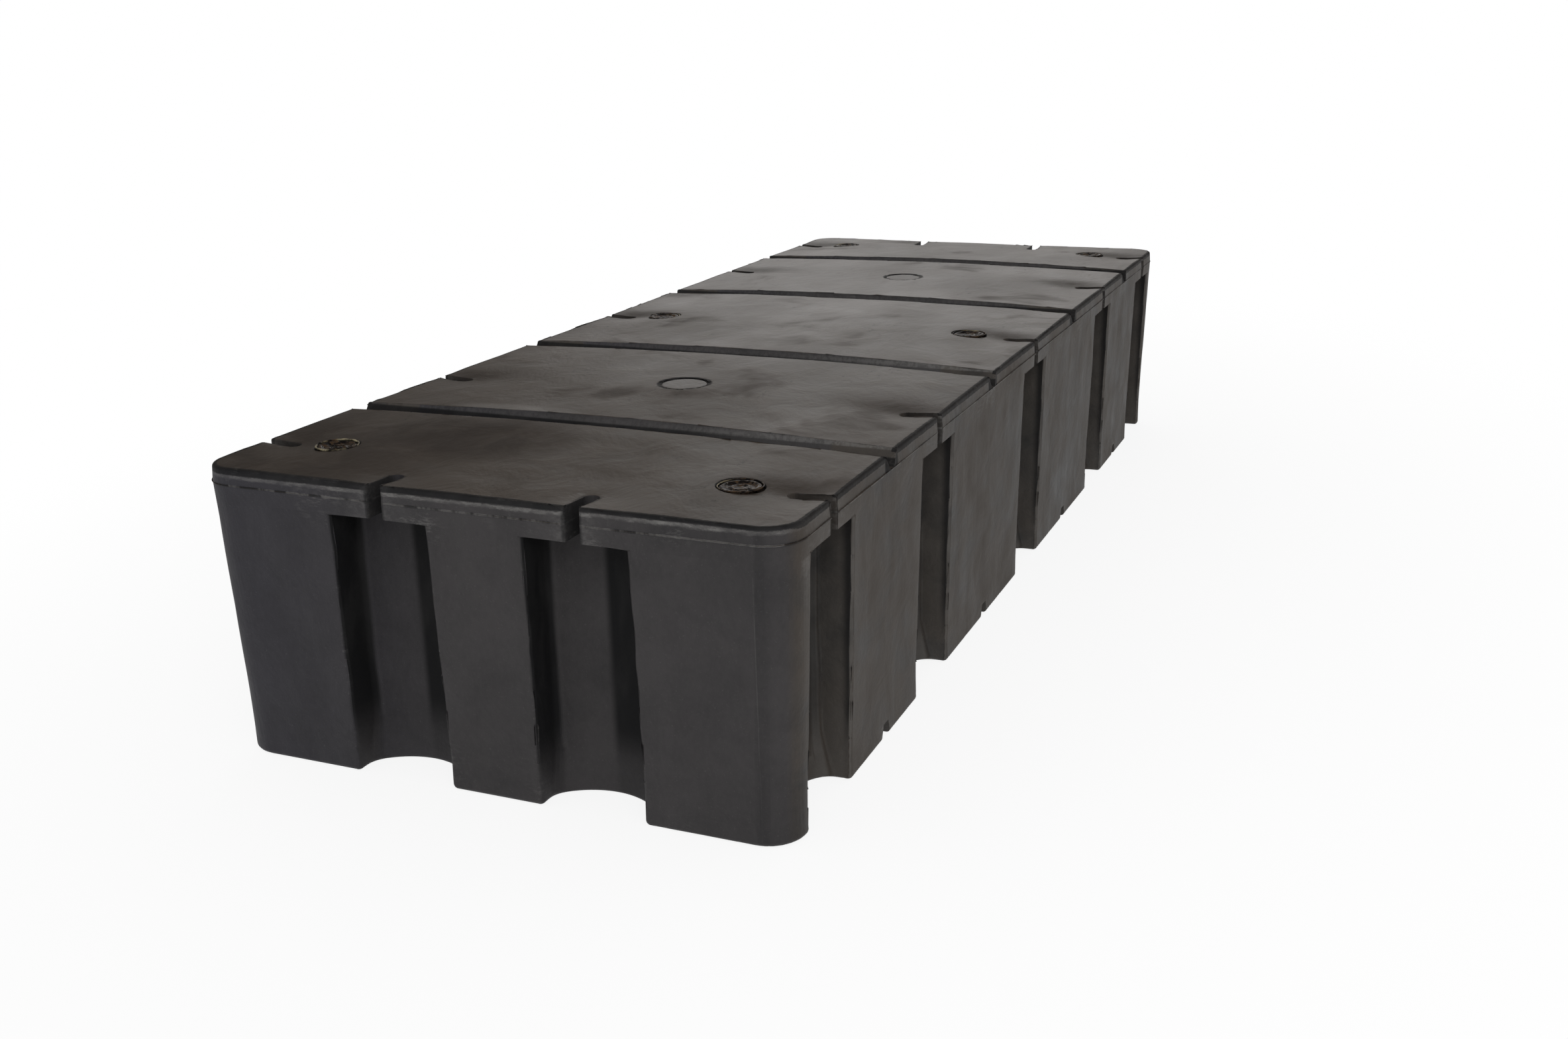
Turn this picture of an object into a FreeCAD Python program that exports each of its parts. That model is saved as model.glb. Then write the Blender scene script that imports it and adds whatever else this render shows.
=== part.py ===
import FreeCAD, Part
import math
import os

from FreeCAD import Placement, Rotation, Vector

# Dock float drum: one closed, foam-filled float of moulded black plastic, three feet by eight feet.
# Frame in millimetres: origin at the middle of the underside, +X across, +Y along the length, +Z up.

# Overall size, over the parting ridge and up to the rim's top edge
WIDTH = 914.4
LENGTH = 2438.4
RIM_HEIGHT = 444.5
CORNER_RADIUS = 54.0

# Top skin, bowed upwards across the width; the bow dies away towards the two ends
CROWN_RISE = 9.0
CROWN_FADE = 350.0

# Rim: the band that bridges the flutes, with the mould's parting ridge half way down
RIM_DEPTH = 50.8
PARTING_DROP = 25.4
RIDGE_PROUD = 1.0
RIDGE_THICKNESS = 2.0
RIM_EDGE_RADIUS = 6.0

# Draft that lets the part leave the two mould halves, as the inset at the far end of each half
LOWER_DRAFT = 10.5
UPPER_DRAFT = 1.0

# Flutes: upright recesses below the rim, one under each bolt slot. The corners stay tight down to
# the bend, a little above the foot, and open out below it
FLUTE_TOP_WIDTH = 150.0
FLUTE_FOOT_WIDTH = 156.0
FLUTE_TOP_DEPTH = 73.0
FLUTE_FOOT_DEPTH = 80.0
FLUTE_TOP_BOW = 300.0
FLUTE_FOOT_BOW = 98.0
FLUTE_TOP_CORNER = 13.0
FLUTE_FOOT_CORNER = 36.0
FLUTE_BEND_HEIGHT = 70.0
FLUTE_BEND_DEPTH = 75.0
FLUTE_BEND_BOW = 240.0
FLUTE_BEND_CORNER = 16.0
FLUTE_LIP_RADIUS = 8.0
FOOT_RADIUS = 8.0

# Bolt slots through the rim, open at the outer edge, with a round inner end and a rounded mouth
SLOT_WIDTH = 19.0
SLOT_LENGTH = 65.0
SLOT_MOUTH_RADIUS = 8.0
SLOT_LIP_RADIUS = 2.0
CORNER_SLOT_STATION = 152.4
SECOND_SLOT_STATION = 609.6
END_SLOT_OFFSET = 152.4

# Transverse channels across the top and, at the same stations, across the underside
NEAR_CHANNEL_STATION = 381.0
INNER_CHANNEL_STATION = 914.4
CHANNEL_WIDTH = 44.0
CHANNEL_FLOOR = 14.0
FOOT_CHANNEL_WIDTH = 40.0
FOOT_CHANNEL_FLOOR = 20.0
FOOT_CHANNEL_DEPTH = 25.0

# Small welded plugs in round recesses, which close the steam holes
PLUG_MARGIN = 133.2
PLUG_STATION = 152.4
PLUG_DIAMETER = 59.0
PLUG_GAP = 3.0
PLUG_SINK = 8.0
PLUG_RECESS_LIP = 2.5
PLUG_THICKNESS = 6.5
PLUG_RIM_WIDTH = 6.0
PLUG_DISH_DEPTH = 2.5
PLUG_BOSS_DIAMETER = 20.0
PLUG_BOSS_RISE = 1.5

# Flat caps in shallow dishes, which close the two filling holes
CAP_DIAMETER = 76.0
CAP_GAP = 2.5
CAP_SINK = 7.0
CAP_THICKNESS = 6.0
CAP_EDGE_RADIUS = 1.5
CAP_DISH_DIAMETER = 106.0
CAP_DISH_DEPTH = 1.8

# How far a cutting shape runs past the face that it cuts
OVERRUN = 20.0

# Points of the bowed skin across and along, one more than these steps
CROWN_STEPS_ACROSS = 8
CROWN_STEPS_ALONG = 14

# Worked out from the sizes above
FACE_X = WIDTH / 2 - RIDGE_PROUD
FACE_Y = LENGTH / 2 - RIDGE_PROUD
PARTING_HEIGHT = RIM_HEIGHT - PARTING_DROP
RIM_UNDERSIDE = RIM_HEIGHT - RIM_DEPTH
SKIN_TOP = RIM_HEIGHT + CROWN_RISE + OVERRUN
CHANNEL_DEPTH = PARTING_DROP - RIDGE_THICKNESS / 2
CHANNEL_BOTTOM = RIM_HEIGHT - CHANNEL_DEPTH
CAP_STATION = (NEAR_CHANNEL_STATION + INNER_CHANNEL_STATION) / 2
CORNER_FLAT = CORNER_SLOT_STATION - FLUTE_FOOT_WIDTH / 2 - LOWER_DRAFT
CORNER = min(CORNER_RADIUS, CORNER_FLAT - FLUTE_LIP_RADIUS - 1)
FOOT_FILLET = min(FOOT_RADIUS, FLUTE_LIP_RADIUS)
PLUG_X = FACE_X - PLUG_MARGIN
PLUG_RECESS_RADIUS = PLUG_DIAMETER / 2 + PLUG_GAP


def both_ways(stations):
    """Stations measured from the near end, and the same from the far end, as places along Y."""
    near = [station - LENGTH / 2 for station in stations]
    return near + [-place for place in reversed(near)]


def rounded_outline(inset, height):
    """Closed plan outline of the drum at a height, drawn in by inset from the parting face."""
    x = FACE_X - inset
    y = FACE_Y - inset
    bend = CORNER * (1 - math.sqrt(0.5))
    edges = []
    for sx, sy in ((1, 1), (-1, 1), (-1, -1), (1, -1)):
        on_side = Vector(sx * x, sy * (y - CORNER), height)
        middle = Vector(sx * (x - bend), sy * (y - bend), height)
        on_end = Vector(sx * (x - CORNER), sy * y, height)
        first, last = (on_side, on_end) if sx == sy else (on_end, on_side)
        if edges:
            edges.append(Part.makeLine(edges[-1].Vertexes[-1].Point, first))
        edges.append(Part.Arc(first, middle, last).toShape())
    edges.append(Part.makeLine(edges[-1].Vertexes[-1].Point, edges[0].Vertexes[0].Point))
    return Part.Wire(edges)


def crown_height(x, y):
    """Height of the bowed top skin over a point of the plan."""
    across = 1 - (x / FACE_X) ** 2
    from_end = max(0.0, FACE_Y - abs(y))
    along = 1 - (1 - min(1.0, from_end / CROWN_FADE)) ** 2
    return RIM_HEIGHT + CROWN_RISE * across * along


def below_the_skin():
    """Solid under the bowed top skin, larger than the drum in plan."""
    half_x = FACE_X + OVERRUN
    half_y = FACE_Y + OVERRUN
    rows = []
    for i in range(CROWN_STEPS_ACROSS + 1):
        x = half_x * (2 * i / CROWN_STEPS_ACROSS - 1)
        places = [half_y * (2 * j / CROWN_STEPS_ALONG - 1) for j in range(CROWN_STEPS_ALONG + 1)]
        rows.append([Vector(x, y, crown_height(x, y)) for y in places])
    skin = Part.BSplineSurface()
    skin.interpolate(rows)
    return skin.toShape().extrude(Vector(0, 0, -SKIN_TOP))


def blank():
    """The drum without its recesses: two drafted mould halves under the bowed skin."""
    foot = rounded_outline(LOWER_DRAFT, 0)
    parting = rounded_outline(0, PARTING_HEIGHT)
    over_inset = UPPER_DRAFT * (SKIN_TOP - PARTING_HEIGHT) / PARTING_DROP
    over = rounded_outline(over_inset, SKIN_TOP)
    lower_half = Part.makeLoft([foot, parting], True, True)
    upper_half = Part.makeLoft([parting, over], True, True)
    return lower_half.fuse(upper_half.common(below_the_skin())).removeSplitter()


def channel_cutter(place, width, floor, depth, level, way):
    """Prism across the drum for a channel with sloping walls, sunk from a level down or up."""
    half_floor = floor / 2
    half_over = half_floor + (width - floor) / 2 * (depth + OVERRUN) / depth
    x = -FACE_X - OVERRUN
    bottom = level + way * depth
    over = level - way * OVERRUN
    corners = [
        Vector(x, place - half_floor, bottom),
        Vector(x, place + half_floor, bottom),
        Vector(x, place + half_over, over),
        Vector(x, place - half_over, over),
    ]
    section = Part.Face(Part.makePolygon(corners + corners[:1]))
    return section.extrude(Vector(2 * (FACE_X + OVERRUN), 0, 0))


def top_channels():
    """Cutters of the four channels across the top, down to the parting ridge."""
    places = both_ways([NEAR_CHANNEL_STATION, INNER_CHANNEL_STATION])
    return [channel_cutter(y, CHANNEL_WIDTH, CHANNEL_FLOOR, CHANNEL_DEPTH, RIM_HEIGHT, -1) for y in places]


def foot_channels():
    """Cutters of the four channels across the underside."""
    places = both_ways([NEAR_CHANNEL_STATION, INNER_CHANNEL_STATION])
    sizes = (FOOT_CHANNEL_WIDTH, FOOT_CHANNEL_FLOOR, FOOT_CHANNEL_DEPTH)
    return [channel_cutter(y, *sizes, 0, 1) for y in places]


def flute_section(width, depth, bow, corner, height):
    """Plan section of a flute: straight walls, corner arcs and a bowed floor, with depth along +Y."""
    half = width / 2
    bow_centre = depth - bow
    reach = bow - corner
    corner_x = half - corner
    corner_y = bow_centre + math.sqrt(reach ** 2 - corner_x ** 2)
    turn = math.atan2(corner_y - bow_centre, corner_x)

    def at(x, y):
        return Vector(x, y, height)

    def on_circle(centre_x, centre_y, radius, angle):
        return at(centre_x + radius * math.cos(angle), centre_y + radius * math.sin(angle))

    right_join = on_circle(0, bow_centre, bow, turn)
    left_join = on_circle(0, bow_centre, bow, math.pi - turn)
    right_bend = on_circle(corner_x, corner_y, corner, turn / 2)
    left_bend = on_circle(-corner_x, corner_y, corner, math.pi - turn / 2)
    return Part.Wire([
        Part.makeLine(at(-half, -OVERRUN), at(half, -OVERRUN)),
        Part.makeLine(at(half, -OVERRUN), at(half, corner_y)),
        Part.Arc(at(half, corner_y), right_bend, right_join).toShape(),
        Part.Arc(right_join, at(0, depth), left_join).toShape(),
        Part.Arc(left_join, left_bend, at(-half, corner_y)).toShape(),
        Part.makeLine(at(-half, corner_y), at(-half, -OVERRUN)),
    ])


def flute_cutter():
    """One tapering flute, with the drum's outer face at Y zero and the middle of the flute at X zero."""
    widening = (FLUTE_FOOT_WIDTH - FLUTE_TOP_WIDTH) / RIM_UNDERSIDE
    bend_width = FLUTE_FOOT_WIDTH - widening * FLUTE_BEND_HEIGHT
    bend_sizes = (bend_width, FLUTE_BEND_DEPTH, FLUTE_BEND_BOW, FLUTE_BEND_CORNER)
    foot = flute_section(FLUTE_FOOT_WIDTH, FLUTE_FOOT_DEPTH, FLUTE_FOOT_BOW, FLUTE_FOOT_CORNER, 0)
    bend = flute_section(*bend_sizes, FLUTE_BEND_HEIGHT)
    top = flute_section(FLUTE_TOP_WIDTH, FLUTE_TOP_DEPTH, FLUTE_TOP_BOW, FLUTE_TOP_CORNER, RIM_UNDERSIDE)
    return Part.makeLoft([foot, bend, top], True, True).removeSplitter()


def slot_cutter():
    """One bolt slot through the rim, placed like the flute, with its mouth rounded at the outer face."""
    half = SLOT_WIDTH / 2
    end = SLOT_LENGTH - half
    wide = half + SLOT_MOUTH_RADIUS
    mouth = SLOT_MOUTH_RADIUS - RIDGE_PROUD - 1
    bend = SLOT_MOUTH_RADIUS * math.sqrt(0.5)
    outer = mouth - SLOT_MOUTH_RADIUS

    def at(x, y):
        return Vector(x, y, RIM_UNDERSIDE - 1)

    outline = Part.Wire([
        Part.makeLine(at(wide, -OVERRUN), at(wide, outer)),
        Part.Arc(at(wide, outer), at(wide - bend, mouth - bend), at(half, mouth)).toShape(),
        Part.makeLine(at(half, mouth), at(half, end)),
        Part.Arc(at(half, end), at(0, SLOT_LENGTH), at(-half, end)).toShape(),
        Part.makeLine(at(-half, end), at(-half, mouth)),
        Part.Arc(at(-half, mouth), at(bend - wide, mouth - bend), at(-wide, outer)).toShape(),
        Part.makeLine(at(-wide, outer), at(-wide, -OVERRUN)),
        Part.makeLine(at(-wide, -OVERRUN), at(wide, -OVERRUN)),
    ])
    return Part.Face(outline).extrude(Vector(0, 0, SKIN_TOP - RIM_UNDERSIDE))


def slot_seats():
    """Place of each slot's mouth and its turn: five along each side and two on each end."""
    seats = []
    for y in both_ways([CORNER_SLOT_STATION, SECOND_SLOT_STATION]) + [0]:
        seats += [(FACE_X, y, 90), (-FACE_X, y, -90)]
    for x in (END_SLOT_OFFSET, -END_SLOT_OFFSET):
        seats += [(x, -FACE_Y, 0), (x, FACE_Y, 180)]
    return seats


def around_the_rim(cutter):
    """Copies of a cutter at every slot."""
    copies = []
    for x, y, turn in slot_seats():
        copy = cutter.copy()
        copy.Placement = Placement(Vector(x, y, 0), Rotation(Vector(0, 0, 1), turn))
        copies.append(copy)
    return copies


def middle_of(edge):
    """Point half way along an edge, and the edge's direction there."""
    half_way = (edge.FirstParameter + edge.LastParameter) / 2
    return edge.valueAt(half_way), edge.tangentAt(half_way)


def skin_edges(body):
    """Edges where the top skin meets the outer faces and the channels."""
    chosen = []
    for edge in body.Edges:
        point, direction = middle_of(edge)
        reaches_skin = max(vertex.Point.z for vertex in edge.Vertexes) > RIM_HEIGHT - 1
        if reaches_skin and point.z > CHANNEL_BOTTOM + 3 and abs(direction.z) < 0.5:
            chosen.append(edge)
    return chosen


def slot_lips(body):
    """Edges where the top skin and its rounded rim meet the walls of the slots."""
    chosen = []
    half = SLOT_WIDTH / 2
    for edge in body.Edges:
        point, direction = middle_of(edge)
        low = min(vertex.Point.z for vertex in edge.Vertexes)
        if low < RIM_HEIGHT - RIM_EDGE_RADIUS - 1 or abs(direction.z) > 0.95:
            continue
        for x, y, turn in slot_seats():
            along, across = abs(point.x - x), abs(point.y - y)
            if abs(turn) != 90:
                along, across = across, along
            on_wall = along < SLOT_LENGTH + 0.5 and across < half + SLOT_MOUTH_RADIUS + 1
            if on_wall and (across > half / 2 or along > SLOT_LENGTH - half):
                chosen.append(edge)
    return chosen


def plug_recess_lips(body):
    """Upper edges of the plugs' recesses."""
    chosen = []
    for edge in body.Edges:
        point, direction = middle_of(edge)
        for seat in plug_seats():
            away = math.hypot(point.x - seat.x, point.y - seat.y) - PLUG_RECESS_RADIUS
            if abs(away) < 0.2 and point.z > seat.z + PLUG_SINK / 2 and abs(direction.z) < 0.5:
                chosen.append(edge)
    return chosen


def flute_lips(body):
    """The two upright edges of each flute, where its walls meet the outer face."""
    chosen = []
    for edge in body.Edges:
        point, direction = middle_of(edge)
        draft = LOWER_DRAFT * (1 - point.z / PARTING_HEIGHT)
        to_side = FACE_X - draft - abs(point.x)
        to_end = FACE_Y - draft - abs(point.y)
        on_face = min(to_side, to_end) < 0.5 and max(to_side, to_end) > CORNER + 1
        if on_face and abs(direction.z) > 0.9 and point.z < RIM_UNDERSIDE - 1:
            chosen.append(edge)
    return chosen


def foot_edges(body):
    """Edges of the underside."""
    return [edge for edge in body.Edges if max(vertex.Point.z for vertex in edge.Vertexes) < 0.01]


def parting_ridge():
    """Thin band that stands proud of the rim all round, half way down."""
    low = PARTING_HEIGHT - RIDGE_THICKNESS / 2
    rise = Vector(0, 0, RIDGE_THICKNESS)
    outer = Part.Face(rounded_outline(-RIDGE_PROUD, low)).extrude(rise)
    inner = Part.Face(rounded_outline(RIDGE_PROUD, low)).extrude(rise)
    return outer.cut(inner)


def plug_seats():
    """Middle of each plug's seat: three rows of two, near the ends and half way along."""
    places = both_ways([PLUG_STATION]) + [0]
    seats = []
    for y in sorted(places):
        for x in (-PLUG_X, PLUG_X):
            seats.append(Vector(x, y, crown_height(x, y) - PLUG_SINK))
    return seats


def cap_seats():
    """Middle of each cap's seat, on the second and the fourth panel."""
    return [Vector(0, y, crown_height(0, y) - CAP_SINK) for y in both_ways([CAP_STATION])]


def recess_cutters():
    """Cutters of the plugs' recesses, and of the caps' recesses and dishes."""
    cutters = []
    for seat in plug_seats():
        cutters.append(Part.makeCylinder(PLUG_RECESS_RADIUS, OVERRUN, seat))
    for seat in cap_seats():
        cutters.append(Part.makeCylinder(CAP_DIAMETER / 2 + CAP_GAP, OVERRUN, seat))
        inner = CAP_DIAMETER / 2 + CAP_GAP
        outer = CAP_DISH_DIAMETER / 2
        low = seat + Vector(0, 0, CAP_SINK - CAP_DISH_DEPTH)
        spread = inner + (outer - inner) * OVERRUN / CAP_DISH_DEPTH
        cutters.append(Part.makeCone(inner, spread, OVERRUN, low))
    return cutters


def drum_body():
    """The moulded float itself."""
    body = blank().cut(top_channels() + around_the_rim(flute_cutter()))
    body = body.makeFillet(RIM_EDGE_RADIUS, skin_edges(body))
    body = body.makeFillet(FLUTE_LIP_RADIUS, flute_lips(body))
    body = body.makeFillet(FOOT_FILLET, foot_edges(body))
    body = body.cut(foot_channels() + around_the_rim(slot_cutter()) + recess_cutters())
    body = body.makeFillet(SLOT_LIP_RADIUS, slot_lips(body))
    body = body.makeFillet(PLUG_RECESS_LIP, plug_recess_lips(body))
    body = body.fuse(parting_ridge().cut(around_the_rim(slot_cutter())))
    return body.Solids[0]


def turned(points, seat):
    """Solid of revolution about the upright axis through a seat, from radius and height pairs."""
    corners = [seat + Vector(radius, 0, height) for radius, height in points]
    profile = Part.Face(Part.makePolygon(corners + corners[:1]))
    return profile.revolve(seat, Vector(0, 0, 1), 360)


def plug(seat):
    """Round plug with a raised rim, a dished top and a low boss in the middle."""
    radius = PLUG_DIAMETER / 2
    dish_radius = radius - PLUG_RIM_WIDTH
    dish = PLUG_THICKNESS - PLUG_DISH_DEPTH
    boss_radius = PLUG_BOSS_DIAMETER / 2
    boss = dish + PLUG_BOSS_RISE
    return turned([
        (0, 0), (radius, 0), (radius, PLUG_THICKNESS - 1), (radius - 1, PLUG_THICKNESS),
        (dish_radius + 1, PLUG_THICKNESS), (dish_radius - 1, dish),
        (boss_radius + 1, dish), (boss_radius, boss), (0, boss),
    ], seat)


def cap(seat):
    """Flat round cap with a rounded upper edge."""
    disc = Part.makeCylinder(CAP_DIAMETER / 2, CAP_THICKNESS, seat)
    top_edges = [edge for edge in disc.Edges if edge.BoundBox.ZMin > seat.z + CAP_THICKNESS / 2]
    return disc.makeFillet(CAP_EDGE_RADIUS, top_edges)


def sub_parts():
    """Every piece of the drum by its name."""
    pieces = {"drum_body": drum_body()}
    for number, seat in enumerate(plug_seats(), start=1):
        pieces[f"steam_plug_{number}"] = plug(seat)
    for number, seat in enumerate(cap_seats(), start=1):
        pieces[f"fill_cap_{number}"] = cap(seat)
    return pieces


os.makedirs("parts", exist_ok=True)
for name, shape in sub_parts().items():
    shape.exportStep(f"parts/{name}.step")
    box = shape.optimalBoundingBox()
    print(name, shape.isValid(), len(shape.Solids), round(shape.Volume), round(box.XLength, 2),
          round(box.YLength, 2), round(box.ZMin, 2), round(box.ZMax, 2))
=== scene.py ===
"""Dresses the dock float drum: the moulded shell, its welded steam plugs and its fill caps.

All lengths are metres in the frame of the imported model: X across the drum, Y along it, Z up.
"""

import logging
import math
from dataclasses import dataclass
from enum import Enum
from functools import cached_property
from typing import Callable, Iterable, Optional, TypeVar, Union

import bpy
import numpy as np
from mathutils import Matrix, Quaternion, Vector


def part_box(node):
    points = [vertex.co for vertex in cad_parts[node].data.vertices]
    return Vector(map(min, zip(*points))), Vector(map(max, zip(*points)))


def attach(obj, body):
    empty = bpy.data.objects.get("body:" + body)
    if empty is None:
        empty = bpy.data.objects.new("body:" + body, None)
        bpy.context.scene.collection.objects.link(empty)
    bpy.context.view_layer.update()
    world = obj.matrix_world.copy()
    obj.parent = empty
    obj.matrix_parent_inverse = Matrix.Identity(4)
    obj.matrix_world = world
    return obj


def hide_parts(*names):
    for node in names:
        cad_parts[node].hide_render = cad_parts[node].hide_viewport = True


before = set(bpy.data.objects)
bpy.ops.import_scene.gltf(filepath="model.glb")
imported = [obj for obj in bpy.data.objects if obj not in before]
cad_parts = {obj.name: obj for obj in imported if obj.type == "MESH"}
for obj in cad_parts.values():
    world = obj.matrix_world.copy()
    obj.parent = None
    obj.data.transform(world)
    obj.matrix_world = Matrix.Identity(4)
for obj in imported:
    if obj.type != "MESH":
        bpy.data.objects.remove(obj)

logging.basicConfig(level=logging.INFO, format="%(message)s")
log = logging.getLogger("float")

Colour = tuple[float, float, float]
Point = tuple[float, float, float]
Number = Union[int, float, "Tap"]
Piece = bpy.types.Object
Socket = bpy.types.NodeSocket
Finish = bpy.types.Material
Options = dict[str, object]
Inputs = dict[Union[str, int], object]
Lumps = tuple[tuple[str, float, float, str], ...]
Thing = TypeVar("Thing")

PLASTIC_IOR = 1.5
WEIGHT_STEPS = 200
MERGED_BELOW = 1e-5
CUT_MERGED_BELOW = 2e-5


def having(thing: Thing, options: Options) -> Thing:
    """Sets options of a thing by their names.

    Args:
        thing: a node, a modifier, a texture or an object.
        options: the options.

    Returns:
        The thing itself.
    """
    for name, value in options.items():
        setattr(thing, name, value)
    return thing


# Shader graphs


def joins(operation: str, turned: bool = False) -> Callable[["Tap", Number], "Tap"]:
    """Makes a method that joins a tap and another value by one Math node.

    Args:
        operation: the node's operation.
        turned: whether the other value comes first.

    Returns:
        The method.
    """

    def method(tap: "Tap", other: Number) -> "Tap":
        """Adds the node."""
        return tap.graph.math(operation, *((other, tap) if turned else (tap, other)))

    return method


class Tap:
    """One output of a node, on which plain arithmetic adds Math nodes."""

    __add__, __radd__ = joins("ADD"), joins("ADD", True)
    __sub__, __rsub__ = joins("SUBTRACT"), joins("SUBTRACT", True)
    __mul__, __rmul__ = joins("MULTIPLY"), joins("MULTIPLY", True)
    __truediv__, __rtruediv__ = joins("DIVIDE"), joins("DIVIDE", True)
    power, most, least = joins("POWER"), joins("MAXIMUM"), joins("MINIMUM")

    def __init__(self, graph: "Graph", socket: Socket) -> None:
        """Keeps the graph and the socket that the values come from."""
        self.graph = graph
        self.socket = socket

    def size(self) -> "Tap":
        """The value without its sign."""
        return self.graph.math("ABSOLUTE", self)

    def sign(self) -> "Tap":
        """The value's sign alone, 1 or -1."""
        return self.graph.math("SIGN", self)

    def diagonal(self, other: "Tap") -> "Tap":
        """The diagonal of a rectangle whose sides are this value and another."""
        return (self.power(2.0) + other.power(2.0)).power(0.5)

    def step(self, low: float, high: float) -> "Tap":
        """A smooth step from 0 at low to 1 at high.

        Args:
            low: the value that gives 0.
            high: the value that gives 1, which may be the smaller of the two.

        Returns:
            The stepped value, from 0 to 1.
        """
        options = {"interpolation_type": "SMOOTHSTEP", "clamp": True}
        sockets = {"Value": self, "From Min": min(low, high), "From Max": max(low, high)}
        value = self.graph.tap("ShaderNodeMapRange", options, sockets, "Result")
        return 1 - value if low > high else value


class Graph:
    """The node tree of one material, or of the room."""

    def __init__(self, owner: Union[Finish, bpy.types.World]) -> None:
        """Empties the owner's tree and adds its output node.

        Args:
            owner: the material or the world that the tree belongs to.
        """
        self.owner = owner
        owner.use_nodes = True
        self.tree = owner.node_tree
        self.tree.nodes.clear()
        room = isinstance(owner, bpy.types.World)
        self.output = self.node("ShaderNodeOutputWorld" if room else "ShaderNodeOutputMaterial")

    def node(
        self,
        kind: str,
        options: Optional[Options] = None,
        sockets: Optional[Inputs] = None,
    ) -> bpy.types.Node:
        """Adds a node, sets its options, and then fills or links its sockets.

        Args:
            kind: the node's type, such as ShaderNodeMath.
            options: options of the node.
            sockets: values, taps or sockets for the inputs, by name or number.

        Returns:
            The new node.
        """
        made = having(self.tree.nodes.new(kind), options or {})
        for key, value in (sockets or {}).items():
            socket = made.inputs[key]
            if isinstance(value, Tap):
                self.tree.links.new(value.socket, socket)
            elif isinstance(value, Socket):
                self.tree.links.new(value, socket)
            elif isinstance(value, (tuple, list)) and socket.type == "RGBA":
                socket.default_value = (*value, 1.0)
            else:
                socket.default_value = value
        return made

    def tap(
        self, kind: str, options: Options, sockets: Inputs, output: Union[str, int] = 0
    ) -> Tap:
        """Adds a node as above, and taps one of its outputs."""
        return Tap(self, self.node(kind, options, sockets).outputs[output])

    def math(self, operation: str, first: Number, second: Optional[Number] = None) -> Tap:
        """Adds a Math node on one value or tap, or on two."""
        sockets = {0: first} if second is None else {0: first, 1: second}
        return self.tap("ShaderNodeMath", {"operation": operation}, sockets)

    def parts(self, kind: str, output: str) -> tuple[Socket, Tap, Tap, Tap]:
        """Adds a node and splits one of its vectors.

        Args:
            kind: the node's type.
            output: the name of the output that is split.

        Returns:
            The vector's socket, and its X, Y and Z.
        """
        vector = self.node(kind).outputs[output]
        split = self.node("ShaderNodeSeparateXYZ", {}, {0: vector})
        return (vector, *(Tap(self, socket) for socket in split.outputs))

    @cached_property
    def place(self) -> tuple[Socket, Tap, Tap, Tap]:
        """The object's own coordinates as a vector and as three values."""
        return self.parts("ShaderNodeTexCoord", "Object")

    def noise(
        self,
        size: float,
        stretch: Point = (1.0, 1.0, 1.0),
        detail: float = 3.0,
        rough: float = 0.55,
        twist: float = 0.0,
    ) -> Tap:
        """Soft noise whose lumps have a given size.

        Args:
            size: the size of the lumps.
            stretch: how much longer the lumps are along each axis.
            detail: how many finer layers it has.
            rough: how strong the finer layers are.
            twist: how far the pattern is distorted.

        Returns:
            A tap on the value, about 0.5 in the middle.
        """
        scale = tuple(1.0 / (size * s) for s in stretch)
        sockets = {"Vector": self.place[0], "Scale": scale}
        mapped = self.node("ShaderNodeMapping", {"vector_type": "POINT"}, sockets).outputs[0]
        sockets = {"Vector": mapped, "Scale": 1.0, "Detail": detail, "Roughness": rough}
        sockets["Distortion"] = twist
        return self.tap("ShaderNodeTexNoise", {"noise_dimensions": "3D"}, sockets)

    def attribute(self, name: str) -> Tap:
        """A value that the mesh keeps for each of its points."""
        return self.tap("ShaderNodeAttribute", {"attribute_name": name}, {}, "Fac")

    def ray(self, kind: str) -> Tap:
        """Tells, as 1 or 0, whether the ray is of one kind, such as Is Camera Ray."""
        return self.tap("ShaderNodeLightPath", {}, {}, kind)

    def seen(self) -> Tap:
        """Tells, as 1 or 0, what the camera sees itself, in a gloss or through glass."""
        eye, gloss = self.ray("Is Camera Ray"), self.ray("Is Glossy Ray")
        return eye.most(gloss).most(self.ray("Is Transmission Ray"))

    def blob(self, axes: Iterable[Tap], centre: Point, reach: Point) -> Tap:
        """A soft round mask.

        Args:
            axes: the taps that it is measured along.
            centre: its middle, where it is 1.
            reach: how far it reaches along each axis before it is 0.

        Returns:
            A tap on the mask.
        """
        total: Optional[Tap] = None
        for tap, middle, size in zip(axes, centre, reach):
            part = ((tap - middle) / size).power(2.0)
            total = part if total is None else total + part
        return total.step(1.0, 0.0)

    def mix(self, share: Number, low: object, high: object) -> Socket:
        """Mixes two colours, or their sockets, by the share of the second one."""
        options = {"data_type": "RGBA", "blend_type": "MIX", "clamp_factor": True}
        return self.node("ShaderNodeMix", options, {0: share, 6: low, 7: high}).outputs[2]

    def bump(self, height: Tap, depth: float, under: Optional[Socket] = None) -> Socket:
        """Turns a height map into a direction.

        Args:
            height: the map.
            depth: the height of its full range.
            under: the direction that it lies on top of.

        Returns:
            The direction's socket.
        """
        sockets = {"Height": height, "Strength": 1.0, "Distance": depth}
        if under is not None:
            sockets["Normal"] = under
        return self.node("ShaderNodeBump", {}, sockets).outputs[0]

    def end(self, shader: bpy.types.Node) -> None:
        """Links a shader to the output."""
        self.tree.links.new(shader.outputs[0], self.output.inputs["Surface"])

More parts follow.
